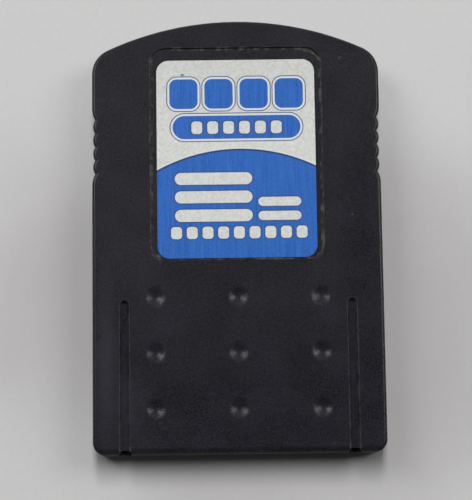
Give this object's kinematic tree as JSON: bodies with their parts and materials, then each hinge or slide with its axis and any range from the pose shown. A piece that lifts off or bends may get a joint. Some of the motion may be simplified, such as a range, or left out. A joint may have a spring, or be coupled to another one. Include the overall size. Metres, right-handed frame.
{
  "type": "memory card",
  "caption": "Flat black memory card with an arched grip end, ribbed sides, a recessed label, thumb dimples and an open comb connector on its back.",
  "frame": {"origin": "middle of the card's flat back, on the surface it lies on", "axes": "+Y from the connector end to the arched grip end, +X across the card, +Z out of the labelled front"},
  "size_m": [0.0426, 0.064, 0.008],
  "materials": {
    "front_plastic": "fine spark-eroded satin, lightly worn",
    "rear_plastic": "fine spark-eroded satin",
    "label_paper": "printed and laminated, satin",
    "board_laminate": "glass laminate under green solder mask",
    "gold_plate": "gold plated",
    "chip_resin": "moulded epoxy, matt",
    "tinned_lead": "matt tin plate",
    "crystal_can": "nickel lid on a ceramic base",
    "tantalum_resin": "moulded resin",
    "capacitor_ceramic": "fired ceramic with tinned ends",
    "resistor_body": "black glaze with tinned ends"
  },
  "bodies": {
    "root": {"front_shell": "front_plastic", "rear_shell": "rear_plastic", "label": "label_paper", "circuit_board": "board_laminate", "contact_pad_1": "gold_plate", "contact_pad_2": "gold_plate", "contact_pad_3": "gold_plate", "contact_pad_4": "gold_plate", "contact_pad_5": "gold_plate", "contact_pad_6": "gold_plate", "contact_pad_7": "gold_plate", "contact_pad_8": "gold_plate", "memory_chip": "chip_resin", "memory_leads": "tinned_lead", "controller_chip": "chip_resin", "controller_leads": "tinned_lead", "regulator": "chip_resin", "regulator_leads": "tinned_lead", "crystal": "crystal_can", "tantalum_capacitor": "tantalum_resin", "ceramic_capacitor_1": "capacitor_ceramic", "ceramic_capacitor_2": "capacitor_ceramic", "ceramic_capacitor_3": "capacitor_ceramic", "ceramic_capacitor_4": "capacitor_ceramic", "ceramic_capacitor_5": "capacitor_ceramic", "resistor_1": "resistor_body", "resistor_2": "resistor_body", "resistor_3": "resistor_body", "resistor_4": "resistor_body"}
  },
  "joints": []
}
